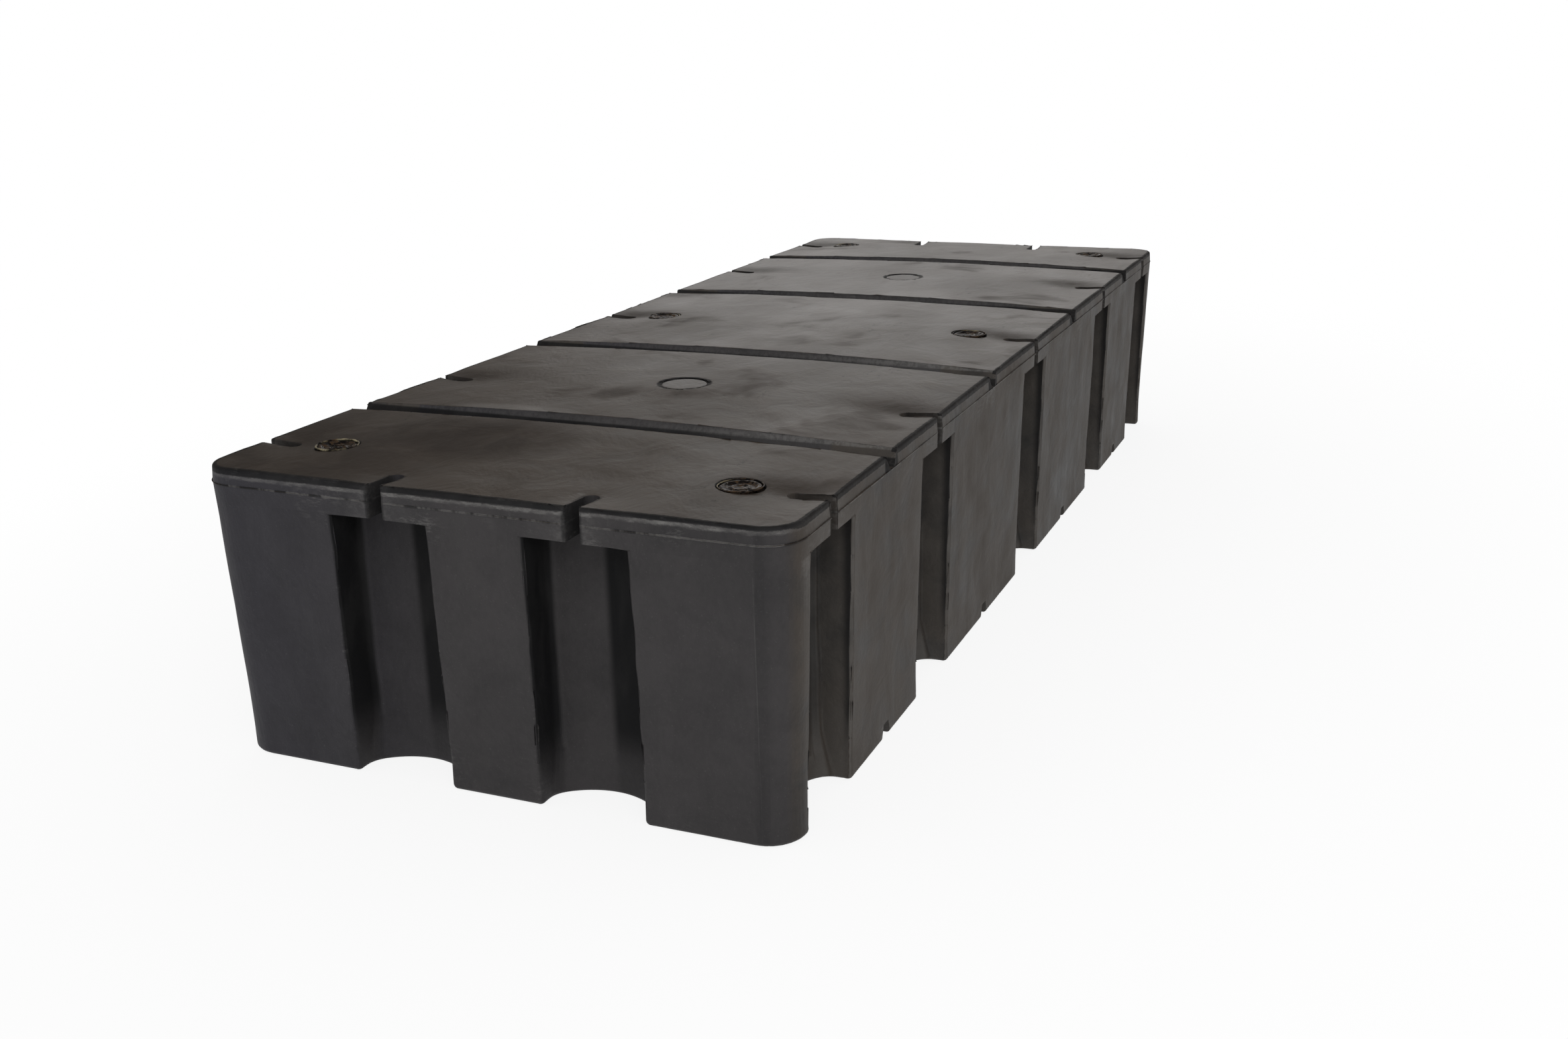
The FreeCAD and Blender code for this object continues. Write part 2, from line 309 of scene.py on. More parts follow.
    def pair(self, bright: Options, dull: Options, share: Tap) -> Finish:
        """Ends the tree in two Principled shaders that a mask blends.

        Args:
            bright: the sockets of the first, shiny one.
            dull: the sockets of the second, dull one, which on the shell carries painted shade.
            share: how much of the second one shows.

        Returns:
            The material.
        """
        shaders = [
            self.node("ShaderNodeBsdfPrincipled", {}, {"IOR": PLASTIC_IOR, **sockets}).outputs[0]
            for sockets in (bright, dull)
        ]
        self.end(self.node("ShaderNodeMixShader", {}, {0: share, 1: shaders[0], 2: shaders[1]}))
        return self.owner


def coat(gloss: float, colour: object, rough: Number, way: Socket) -> Options:
    """Names the sockets of one coat of plastic: gloss, colour, roughness and direction."""
    names = ("Specular IOR Level", "Base Color", "Roughness", "Normal")
    return dict(zip(names, (gloss, colour, rough, way)))


class Surface:
    """The place and the direction of the surface that a graph shades."""

    def __init__(self, g: Graph) -> None:
        """Keeps what a finish asks for again and again.

        Args:
            g: the finish's graph.
        """
        self.g = g
        _, self.x, self.y, self.z = g.place
        _, *self.way = g.parts("ShaderNodeNewGeometry", "Normal")
        self.across, self.along = self.x.size(), self.y.size()
        self.sideways, self.endways, self.level = (part.size() for part in self.way)
        self.upright = self.level.step(0.42, 0.20)


# Mesh tools


def deselect() -> None:
    """Leaves object mode with nothing selected."""
    if bpy.context.object and bpy.context.object.mode != "OBJECT":
        bpy.ops.object.mode_set(mode="OBJECT")
    bpy.ops.object.select_all(action="DESELECT")


def hold(piece: Piece) -> None:
    """Makes a piece the only one selected, and the active one.

    Args:
        piece: the piece.
    """
    deselect()
    piece.select_set(True)
    bpy.context.view_layer.objects.active = piece


def rows(
    parts: bpy.types.bpy_prop_collection, what: str, each: int, kind: type = float
) -> np.ndarray:
    """Reads a property of all the points, edges, corners or faces of a mesh.

    Args:
        parts: the mesh's list of them.
        what: the property.
        each: how many numbers it has.
        kind: the type of number, a float or a whole one of 32 bits.

    Returns:
        One row for each of them, or a plain list where each has one number.
    """
    found = np.empty(len(parts) * each, dtype=kind)
    parts.foreach_get(what, found)
    return found.reshape(-1, each) if each > 1 else found


def points(piece: Piece) -> np.ndarray:
    """The places of all the vertices of a piece, one row each."""
    return rows(piece.data.vertices, "co", 3)


def faces(piece: Piece) -> tuple[np.ndarray, np.ndarray]:
    """The middles and the directions of all the faces of a piece."""
    return rows(piece.data.polygons, "center", 3), rows(piece.data.polygons, "normal", 3)


def ends_of(piece: Piece) -> np.ndarray:
    """The two vertices of every edge, one row each."""
    return rows(piece.data.edges, "vertices", 2, np.int32)


def corners_of(piece: Piece, what: str) -> tuple[np.ndarray, np.ndarray]:
    """The index that every face corner keeps, and how many corners each face has."""
    counts = rows(piece.data.polygons, "loop_total", 1, np.int32)
    return rows(piece.data.loops, what, 1, np.int32), counts


def touched(piece: Piece, wanted: np.ndarray) -> np.ndarray:
    """Finds the vertices that some faces use.

    Args:
        piece: the mesh.
        wanted: one true or false value for each face.

    Returns:
        One true or false value for each vertex.
    """
    used = np.zeros(len(piece.data.vertices), dtype=bool)
    corners, counts = corners_of(piece, "vertex_index")
    used[corners[np.repeat(wanted, counts)]] = True
    return used


def put(piece: Piece, places: np.ndarray) -> None:
    """Writes the places of all the vertices back to a piece."""
    piece.data.vertices.foreach_set("co", places.ravel())
    piece.data.update()


def unit(values: np.ndarray) -> np.ndarray:
    """The values, held between 0 and 1."""
    return np.clip(values, 0, 1)


def bell(away: np.ndarray, reach: float) -> np.ndarray:
    """A soft hump, 1 where it is nought away and 0.6 at its reach."""
    return np.exp(-0.5 * (away / reach) ** 2)


def choose(piece: Piece, wanted: np.ndarray) -> None:
    """Enters edit mode with exactly the wanted faces selected and the others hidden.

    Args:
        piece: the mesh to edit.
        wanted: one true or false value for each face.
    """
    hold(piece)
    used = touched(piece, wanted)
    piece.data.polygons.foreach_set("select", wanted)
    piece.data.vertices.foreach_set("select", used)
    piece.data.edges.foreach_set("select", used[ends_of(piece)].all(axis=1))
    bpy.ops.object.mode_set(mode="EDIT")
    bpy.ops.mesh.select_mode(type="FACE")
    bpy.ops.mesh.hide(unselected=True)


def release() -> None:
    """Shows hidden faces again and leaves edit mode."""
    bpy.ops.mesh.reveal(select=False)
    bpy.ops.mesh.select_mode(type="VERT")
    bpy.ops.mesh.select_all(action="DESELECT")
    bpy.ops.object.mode_set(mode="OBJECT")


def all_faces() -> None:
    """Selects every face that isn't hidden."""
    bpy.ops.mesh.select_all(action="SELECT")


def cut(piece: Piece, wanted: np.ndarray, axis: int, stations: Iterable[float]) -> None:
    """Bisects the wanted faces by planes square to an axis.

    Args:
        piece: the mesh to cut.
        wanted: the faces that are cut.
        axis: 0 for X, 1 for Y, 2 for Z.
        stations: where the planes stand along the axis.
    """
    choose(piece, wanted)
    way = np.eye(3)[axis]
    for station in stations:
        all_faces()
        bpy.ops.mesh.bisect(plane_co=way * station, plane_no=way, threshold=CUT_MERGED_BELOW)
    release()


def spread(low: float, high: float, pitch: float) -> np.ndarray:
    """Even stations between two places, which are left out themselves."""
    steps = max(1, round((high - low) / pitch))
    return np.linspace(low, high, steps + 1)[1:-1]


def weigh(piece: Piece, name: str, weights: np.ndarray) -> str:
    """Gives a piece a vertex group.

    Args:
        piece: the mesh.
        name: the group's name.
        weights: one weight for each vertex, from 0 to 1.

    Returns:
        The group's name.
    """
    group = piece.vertex_groups.new(name=name)
    steps = np.round(weights * WEIGHT_STEPS).astype(int)
    for step in np.unique(steps[steps > 0]):
        group.add(np.nonzero(steps == step)[0].tolist(), step / WEIGHT_STEPS, "REPLACE")
    return group.name


def apply(piece: Piece, kind: str, options: Options) -> None:
    """Adds a modifier to a piece, sets it and applies it.

    Args:
        piece: the mesh.
        kind: the modifier's type.
        options: its options by name.
    """
    hold(piece)
    made = having(piece.modifiers.new(kind.lower(), kind), options)
    bpy.ops.object.modifier_apply(modifier=made.name)


def displace(piece: Piece, group: str, way: str, depth: float, options: Options) -> None:
    """Moves the weighted points of a piece one way by a depth, with further options."""
    shared = {"vertex_group": group, "direction": way, "strength": depth}
    apply(piece, "DISPLACE", {**shared, **options})


def clouds(name: str, size: float, depth: int = 1, middle: float = 0.5) -> Options:
    """Makes the options of a displacement by clouds.

    Args:
        name: the texture's name.
        size: the size of the lumps.
        depth: how many layers they have.
        middle: the grey of the clouds that moves nothing.

    Returns:
        The options.
    """
    options = {"noise_scale": size, "noise_depth": depth, "noise_basis": "IMPROVED_PERLIN"}
    made = having(bpy.data.textures.new(name, "CLOUDS"), options)
    return {"texture": made, "texture_coords": "LOCAL", "mid_level": middle}


def mark(piece: Piece, name: str, values: Union[float, np.ndarray]) -> None:
    """Keeps a value for each point of a piece, for its finish to read.

    Args:
        piece: the mesh.
        name: the attribute's name.
        values: one value for each point, or one for all.
    """
    mesh = piece.data
    made = mesh.attributes.get(name) or mesh.attributes.new(name, "FLOAT", "POINT")
    filled = np.full(len(mesh.vertices), 0.0, dtype=np.float32)
    filled[:] = values
    made.data.foreach_set("value", filled)


def moved(piece: Piece, place: Point, turn: float) -> None:
    """Turns and shifts a piece, and then settles that in its mesh.

    Args:
        piece: the piece, about the origin.
        place: where it goes.
        turn: how far it is turned about Z, in degrees.
    """
    hold(piece)
    piece.location = place
    piece.rotation_euler = (0.0, 0.0, math.radians(turn))
    bpy.ops.object.transform_apply(location=True, rotation=True, scale=True)


def copy_of(piece: Piece, name: str) -> Piece:
    """Copies a piece, with a mesh of its own.

    Args:
        piece: the piece.
        name: the copy's name.

    Returns:
        The copy.
    """
    made = piece.copy()
    made.data = piece.data.copy()
    made.name = made.data.name = name
    bpy.context.scene.collection.objects.link(made)
    return made


def settle(piece: Piece, stands_for: Iterable[str]) -> None:
    """Hides the nodes that a finished piece stands for, and hangs it on the root body.

    Args:
        piece: the piece.
        stands_for: the nodes that it replaces.
    """
    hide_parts(*stands_for)
    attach(piece, "root")


# Finishes


@dataclass(frozen=True)
class Polyethylene:
    """The black shell: dusty grey outside, brown and satin on top, with painted shade that turns
    its flutes, channels, slots and top edges near black, and painted highlights and sheen on some
    edges and walls.
    """

    black: Colour = (0.0040, 0.0042, 0.0050)
    cool: Colour = (0.0360, 0.0330, 0.0340)
    painted_shade_blue: Colour = (0.0255, 0.0240, 0.0300)
    warm: Colour = (0.0420, 0.0340, 0.0275)
    tan: Colour = (0.0440, 0.0325, 0.0235)
    shade: Colour = (0.0150, 0.0147, 0.0150)
    brown: Colour = (0.0290, 0.0178, 0.0102)
    chalk_and_highlight: Colour = (0.1700, 0.1650, 0.1580)
    rim_underside: float = 0.3937
    parting_height: float = 0.4191
    edge_x: float = 0.4552
    edge_y: float = 1.2172
    corner: float = 0.0530
    end_flute: float = 0.1524
    channels: tuple[float, float] = (0.8382, 0.3048)
    slots_y: tuple[float, float] = (0.6096, 1.0668)
    cap_y: float = 0.5715
    plug_x: float = 0.3230
    seam_x: float = 0.4030

    def inset(self, at: Surface) -> Tap:
        """How far inside the rim's rounded outline a point lies in plan.

        Args:
            at: the surface.

        Returns:
            A tap that is 0 on the outline.
        """
        past_x = at.across - (self.edge_x - self.corner)
        past_y = at.along - (self.edge_y - self.corner)
        round_it = past_x.most(0.0).diagonal(past_y.most(0.0))
        return self.corner - round_it - past_x.most(past_y).least(0.0)

    def long_side(self, at: Surface) -> Tap:
        """The strips along the two long sides, with their flutes and pillars."""
        return at.across.step(0.350, 0.360) * at.along.step(1.156, 1.150)

    def painted_recess_shade(self, at: Surface) -> Tap:
        """Painted shade: where the end flutes' walls and far corners, the side flutes' floors and
        the strips by their lips go near black.

        Args:
            at: the surface.

        Returns:
            A tap that is 1 on the walls and 0 on the outer faces.
        """
        below = at.z.step(self.rim_underside + 0.003, self.rim_underside - 0.001)
        by_end = at.across.step(0.330, 0.310) * at.along.step(1.08, 1.10)
        end_wall = by_end * at.endways.step(0.93, 0.62)
        side_wall = at.across.step(0.430, 0.444) * at.sideways.step(0.50, 0.25) * 0.85
        inner_wall = at.across.step(0.412, 0.398) * at.sideways.step(0.30, 0.60) * 0.55
        side_wall = self.long_side(at) * side_wall.most(inner_wall)
        # Painted shade also on the right-hand part of each end flute's floor, and less of all of
        # it near the foot.
        beside = at.x - at.x.sign() * self.end_flute
        corner = by_end * beside.step(-0.002, 0.012) * at.along.step(1.190, 1.165)
        foot = 0.25 + at.z.step(0.035, 0.110) * 0.75
        return below * end_wall.most(side_wall).most(corner) * foot

    def from_flute(self, at: Surface) -> Tap:
        """How far a point lies along the drum from the middle of the nearest side flute."""
        first, last = ((at.along - place).size() for place in self.slots_y)
        return at.along.least(first).least(last)

    def slots(self, at: Surface) -> Tap:
        """Painted shade inside the rim's bolt slots, but for their mouths.

        Args:
            at: the surface.

        Returns:
            A tap that is 1 in the end slots and weaker in the side ones.
        """
        at_end = (at.across - self.end_flute).size().step(0.017, 0.013)
        at_end = at_end * at.along.step(1.150, 1.165)
        at_side = self.from_flute(at).step(0.017, 0.013) * at.across.step(0.390, 0.400) * 0.6
        in_rim = at.z.step(self.rim_underside - 0.002, self.rim_underside)
        return at_end.most(at_side) * in_rim * at.z.step(0.4425, 0.4395)

    def seats(self, at: Surface) -> Tap:
        """The black crumbs on the skin round the caps and, thinner, round the plugs.

        Args:
            at: the surface.

        Returns:
            A tap that is 1 where they lie.
        """
        ragged = (at.g.noise(0.012, detail=4.0, rough=0.75) - 0.5) * 0.009
        by_cap = at.x.diagonal(at.along - self.cap_y) + ragged
        beside = at.along.least((at.along - self.slots_y[1]).size())
        by_plug = (at.across - self.plug_x).diagonal(beside) + ragged * 0.6
        return by_cap.step(0.0480, 0.0445).most(by_plug.step(0.0350, 0.0330))

    def lines(self, at: Surface) -> tuple[Tap, Tap]:
        """The parting line round the rim.

        Args:
            at: the surface.

        Returns:
            Its pale flash and its dark gaps.
        """
        ragged = at.g.noise(0.0050, rough=0.7)
        away = (at.z - self.parting_height + (ragged - 0.5) * 0.0016).size()
        broken = at.g.noise(0.045, (1.0, 1.0, 4.0), 4.0, 0.7)
        flash = away.step(0.0017, 0.0007) * broken.step(0.44, 0.56)
        gaps = away.step(0.0026, 0.0010) * broken.step(0.56, 0.42)
        return flash * at.upright, gaps * at.upright

    def scuffs_and_highlights(self, at: Surface) -> Tap:
        """The pale ragged wear of the rim's top edge, slot mouths and bends, and a painted
        highlight along the upright outer corners.

        Args:
            at: the surface.

        Returns:
            A tap from 0 for clean to 1 for scuffed or highlighted.
        """
        g, x, z, under = at.g, at.x, at.z, self.rim_underside
        ragged = g.noise(0.010, (1.8, 1.8, 0.6), 5.0, 0.75)
        patches = g.noise(0.070, detail=2.0)
        height = z + (ragged - 0.5) * 0.0060 - x.step(0.10, 0.20) * 0.0035
        band = height.step(0.4275, 0.4315) * height.step(0.4365, 0.4345)
        band = band * at.upright * self.inset(at).step(0.010, 0.006)
        front = 0.22 + at.way[1].step(-0.4, -0.9) * 0.78
        rim = band * front * (0.45 + ragged.step(0.40, 0.62) * 0.55)
        rim = rim * (0.5 + patches.step(0.35, 0.6) * 0.5) * (1 - x.step(-0.05, -0.35) * 0.45)
        crumbs = g.noise(0.012, (1.0, 1.0, 0.7), 5.0, 0.75)
        mouth = g.attribute("mouth") * (0.25 + crumbs.step(0.40, 0.66) * 0.75)
        outside = at.along.step(1.165, 1.180).most(at.across.step(0.410, 0.425))
        outside = outside.most(z.step(under - 0.003, under))
        bend = g.attribute("wear") * outside * ragged.step(0.46, 0.66) * patches.step(0.40, 0.62)
        # Painted highlight: a pale ragged line near the outer edge of the upright corners.
        torn = at.across + (crumbs - 0.5) * 0.0050
        edge = at.upright * torn.step(0.4515, 0.4545) * at.along.step(1.135, 1.145)
        edge = edge * z.step(under, under - 0.003)
        return (rim * 0.75).most(mouth * 0.34).most(bend * 0.35).most(edge * 0.30)

    def material(self) -> Finish:
        """Builds the shader graph.

        Returns:
            The material.
        """
        g = Graph(bpy.data.materials.new("black_polyethylene"))
        at = Surface(g)
        x, y, z, way, under = at.x, at.y, at.z, at.way, self.rim_underside
        top = way[2].step(0.72, 0.96)
        broad = g.noise(0.30, (1.0, 1.4, 1.0), 2.0)
        cloudy = g.noise(0.075, (1.0, 1.3, 1.0), 4.0, 0.6, 0.4)
        streaks = g.noise(0.060, (1.0, 1.0, 2.6), 4.0, 0.55, 0.5)
        fine = g.noise(0.007, (1.0, 1.0, 1.6), 3.0, 0.7)
        specks = g.noise(0.0030, detail=2.0, rough=0.6)
        by_side = self.long_side(at) * at.level.step(0.90, 0.60)
        side = (at.sideways.step(0.70, 0.98) * at.across.step(0.33, 0.36)).most(by_side)
        blotch = g.noise(0.16, (1.0, 1.0, 0.8), 3.0, 0.55, 0.5)
        edge_noise = (fine - 0.5) * 0.0040
        raised = z - x.step(0.10, 0.20) * way[1].step(-0.2, -0.6) * 0.0035 + edge_noise
        # Painted shade: a near-black strip along the rim's rounded top edge.
        painted_shoulder_shade = (self.inset(at) + edge_noise).step(0.0095, 0.0075)
        painted_shoulder_shade = painted_shoulder_shade * raised.step(0.4335, 0.4350)
        first, last = ((at.along - place).size() for place in self.channels)
        gully = first.least(last)
        in_channel = gully.step(0.030, 0.024) * z.step(0.4190, 0.4200)
        far_wall = in_channel * way[1].step(-0.20, -0.50)
        bottom = in_channel * z.step(0.4320, 0.4290)
        lit = x.step(0.00, 0.36) * y.step(0.10, -0.10)
        # Painted shade: the channels go near black, but for the lit right part of the near ones'
        # far walls.
        painted_channel_shade = in_channel * z.step(0.4435, 0.4405) * (1 - far_wall * lit)
        painted_channel_shade = painted_channel_shade.most(bottom)
        seats = self.seats(at) * z.step(0.4380, 0.4400)
        # The share of the dull near-black coat: painted shade in the flutes, slots and channels
        # and along the rim's top edge, and the real crumbs round the caps and plugs; grit and the
        # brown, partly painted-shade patches join it below.
        dark = self.painted_recess_shade(at).most(painted_shoulder_shade * 0.90).most(painted_channel_shade * 0.90)
        # Painted shade: the inside of the bolt slots goes near black too.
        dark = dark.most(self.slots(at) * 0.75).most(seats * 0.9)

        # Painted shade: the front's left end turns darker and bluer.
        painted_left_shade = x.step(-0.02, -0.42) * way[1].step(-0.3, -0.8)
        outer = g.mix(painted_left_shade, self.cool, self.painted_shade_blue)
        outer = g.mix(side, outer, self.warm)
        outer = g.mix(top, outer, self.tan)
        tone = 0.87 + (cloudy - 0.5) * (0.7 + side * 0.6) + (streaks - 0.5) * side * 0.75
        tone = tone + (fine - 0.5) * 0.4
        rim = z.step(under, under + 0.002) * (1 - top)
        tone = tone + (blotch - 0.5) * (0.6 + side * 1.7) + (streaks - 0.5) * rim * 0.8
        # Painted shade: a darker band where the right side's lips and corners start to turn
        # towards the ends.
        turn = at.upright * way[0].step(0.02, 0.12) * way[0].step(0.55, 0.25)
        tone = tone - turn * x.step(0.39, 0.40) * 0.22
        colour = g.mix(tone, self.black, outer)
        # Painted light: a pale mix in the side flutes' upright walls and, stronger, in the lit
        # right part of the near channels' far walls.
        painted_wall_light = by_side * z.step(under + 0.002, under) * at.sideways.step(0.34, 0.16)
        painted_wall_light = (painted_wall_light * 0.9).most(far_wall * lit * 0.45)
        colour = g.mix(painted_wall_light * (0.10 + cloudy * 0.20), colour, self.chalk_and_highlight)
        # Painted sheen: a pale streak along the pillar faces beside each side flute.
        painted_pillar_sheen = at.sideways.step(0.90, 0.97) * (self.from_flute(at) - 0.077).step(0.045, 0.0)
        colour = g.mix(painted_pillar_sheen * blotch.step(0.30, 0.60) * 0.08, colour, self.chalk_and_highlight)
        left = x.step(0.00, -0.30) * y.step(-0.76, -1.00)
        stain_and_pucker_shade = (left * 0.8).most(g.blob((x, y), (-0.17, -0.97, 0.0), (0.22, 0.15, 1.0)))
        # Painted shade: a dark patch on the skin past each side slot, joined to the real brown
        # patches.
        painted_pucker_shade = g.attribute("painted_pucker_shade")
        smoke = blotch.step(0.56, 0.74) * (0.4 + cloudy * 0.6)
        stain_and_pucker_shade = stain_and_pucker_shade.most(painted_pucker_shade * 0.7).most(smoke * 0.7)
        colour = g.mix(stain_and_pucker_shade * top * (0.35 + cloudy.step(0.25, 0.60) * 0.6), colour, self.brown)
        grit = g.noise(0.012, (1.0, 2.2, 1.0), 5.0, 0.75).step(0.56, 0.70)
        grit = grit * g.noise(0.19, detail=2.0).step(0.50, 0.62) * top
        colour = g.mix(grit * 0.5, colour, self.black)
        glare = g.blob((x, y), (-0.19, -0.803, 0.0), (0.13, 0.032, 1.0)) * top
        colour = g.mix(glare * (0.10 + cloudy * 0.45), colour, self.chalk_and_highlight)
        dark = dark.most(stain_and_pucker_shade * top * cloudy.step(0.30, 0.62) * 0.36).most(grit * 0.30)
        colour = g.mix(specks.step(0.60, 0.80) * 0.10, colour, self.chalk_and_highlight)
        flash, gap = self.lines(at)
        colour = g.mix(gap * 0.8, colour, self.black)
        colour = g.mix(flash * (0.26 + way[1].step(0.0, -0.6) * 0.22), colour, self.chalk_and_highlight)
        seam = (x - self.seam_x).size().step(0.0011, 0.0004) * at.endways.step(0.97, 0.99)
        seam = seam * z.step(0.412, 0.400) * cloudy.step(0.38, 0.58)
        colour = g.mix(seam * 0.10, colour, self.chalk_and_highlight)
        scuff_and_highlight = self.scuffs_and_highlights(at)
        # Painted highlight: a pale top edge on the channels' far walls, brightest in their lit
        # part.
        painted_channel_lip_light = far_wall * z.step(0.4390, 0.4410) * (0.3 + lit * 0.7)
        painted_channel_lip_light = painted_channel_lip_light * (0.4 + fine.step(0.35, 0.60) * 0.6)
        # Painted highlight: a pale band where the side flutes' lips round over.
        painted_flute_lip_highlight = by_side * z.step(under, under - 0.002) * at.sideways.step(0.30, 0.52)
        painted_flute_lip_highlight = painted_flute_lip_highlight * at.sideways.step(0.96, 0.80) * (0.6 + cloudy.step(0.35, 0.60) * 0.4)
        # The pale mix holds the real wear and the painted highlights.
        pale = scuff_and_highlight.most(painted_channel_lip_light * 0.45).most(painted_flute_lip_highlight * 0.32)
        colour = g.mix(pale, colour, self.chalk_and_highlight)

        near = y.step(0.5, -0.7)
        satin = 0.35 + broad * 0.20 + stain_and_pucker_shade * 0.20 + near * 0.07
        matt = 0.62 + (streaks - 0.5) * 0.30 + (blotch - 0.5) * side * 0.45
        rough = top * satin + (1 - top) * matt + (cloudy - 0.5) * 0.10
        waves = g.bump(cloudy, 0.0030)
        ribs = g.bump(streaks * (1 - top), 0.0016, waves)
        grain = g.bump(g.noise(0.0020, detail=2.0), 0.00012, ribs)
        # Painted reflection: paler streaks in the dull coat of the shaded walls; black where the
        # crumbs lie.
        painted_ghost_reflection = 0.45 + streaks.step(0.46, 0.68) * 0.55
        painted_shade_and_crumb_colour = g.mix(painted_ghost_reflection * (1 - seats), self.black, self.shade)
        bright, dull = coat(0.26, colour, rough, grain), coat(0.10, painted_shade_and_crumb_colour, 0.70, ribs)
        return g.pair(bright, dull, dark * (1 - scuff_and_highlight * 0.8))


@dataclass(frozen=True)
class MeltedPlug:
    """Plastic that was melted shut: almost black and glossy, with a pale flash at its edge."""

    black: Colour = (0.006, 0.005, 0.005)
    tint: Colour = (0.070, 0.042, 0.022)
    flash: Colour = (0.230, 0.200, 0.125)

    def material(self) -> Finish:
        """Builds the shader graph.

        Returns:
            The material.
        """
        g = Graph(bpy.data.materials.new("melted_plug"))
        folds = g.noise(0.010, detail=3.0, twist=0.8)
        fine = g.noise(0.0016, detail=2.0)
        pale = g.attribute("flash")
        colour = g.mix(folds.step(0.40, 0.72) * 0.8, self.black, self.tint)
        colour = g.mix(pale * folds.step(0.30, 0.55), colour, self.flash)
        creases = g.bump(fine, 0.0003, g.bump(folds, 0.0030))
        rough = 0.24 + folds * 0.28 + pale * 0.15
        bright, dull = (coat(gloss, colour, rough, creases) for gloss in (0.24, 0.03))
        return g.pair(bright, dull, (1 - pale) * (folds - 0.54).size().step(0.02, 0.06) * 0.95)


@dataclass(frozen=True)
class CapPlastic:
    """The pale-grey satin cap and the black crumbs of weld round it."""

    grey: Colour = (0.042, 0.036, 0.031)
    light: Colour = (0.062, 0.054, 0.046)
    weld: Colour = (0.003, 0.003, 0.003)

    def material(self) -> Finish:
        """Builds the shader graph.

        Returns:
            The material.
        """
        g = Graph(bpy.data.materials.new("fill_cap_plastic"))
        cloudy = g.noise(0.022, detail=4.0, rough=0.6, twist=0.5)
        scratch = g.noise(0.0022, (9.0, 1.0, 1.0), 2.0, 0.6)
        crumbs = g.noise(0.0035, detail=3.0, rough=0.7)
        weld = g.attribute("weld")
        colour = g.mix(cloudy.step(0.30, 0.70), self.grey, self.light)
        colour = g.mix(scratch.step(0.62, 0.80) * 0.35, colour, self.light)
        colour = g.mix(weld * (1 - crumbs.step(0.66, 0.80) * 0.6), colour, self.weld)
        lumps = g.bump(crumbs * weld, 0.0015, g.bump(cloudy, 0.0012))
        rough = 0.42 + cloudy * 0.14
        bright, dull = (coat(gloss, colour, rough, lumps) for gloss in (0.26, 0.08))
        return g.pair(bright, dull, weld * (1 - crumbs.step(0.60, 0.72) * 0.7))


@dataclass(frozen=True)
class PaleFloor:
    """A white sweep that stays white to the eye and keeps the drum's shadow."""

    white: Colour = (0.80, 0.80, 0.80)
    lift_near: float = 0.87

    def material(self) -> Finish:
        """Builds the shader graph.

        Returns:
            The material.
        """
        g = Graph(bpy.data.materials.new("white_sweep"))
        _, x, y, _ = g.place
        away = x.diagonal(y / 1.7)
        lift = self.lift_near + away.step(0.7, 2.0) * (1.0 - self.lift_near)
        paper = g.node("ShaderNodeBsdfDiffuse", {}, {"Color": self.white})
        glow = g.node("ShaderNodeEmission", {}, {"Color": (1.0, 1.0, 1.0), "Strength": 1.0})
        sockets = {0: g.seen() * lift, 1: paper.outputs[0], 2: glow.outputs[0]}
        g.end(g.node("ShaderNodeMixShader", {}, sockets))
        return g.owner


@dataclass(frozen=True)
class PaleRoom:
    """The room: white walls to the eye, a dim ceiling in the gloss, and even soft light."""

    soft: float = 0.82
    ceiling: float = 0.10
    glossy: Colour = (0.97, 0.895, 0.825)

    def world(self) -> bpy.types.World:
        """Builds the world's graph.

        Returns:
            The world.
        """
        g = Graph(bpy.data.worlds.new("room"))
        _, _, along, up = g.parts("ShaderNodeTexCoord", "Generated")
        wall = 1 - (up / 0.60).most(0.0).least(1.0).power(0.55) * (1.0 - self.ceiling)
        picture = g.ray("Is Camera Ray").most(wall)
        strength = self.soft + g.seen() * (picture - self.soft)
        shiny = g.ray("Is Glossy Ray") * along.step(-0.9, -0.3)
        colour = g.mix(shiny, (1.0, 1.0, 1.0), self.glossy)
        g.end(g.node("ShaderNodeBackground", {}, {"Color": colour, "Strength": strength}))
        return g.owner


# The shell


class Side(Enum):
    """A side of the drum, as the direction that it faces in plan."""

    RIGHT = (1.0, 0.0)
    LEFT = (-1.0, 0.0)
    NEAR = (0.0, -1.0)
    FAR = (0.0, 1.0)

    @property
    def long(self) -> bool:
        """Whether it is one of the two long sides."""
        return self.value[1] == 0.0


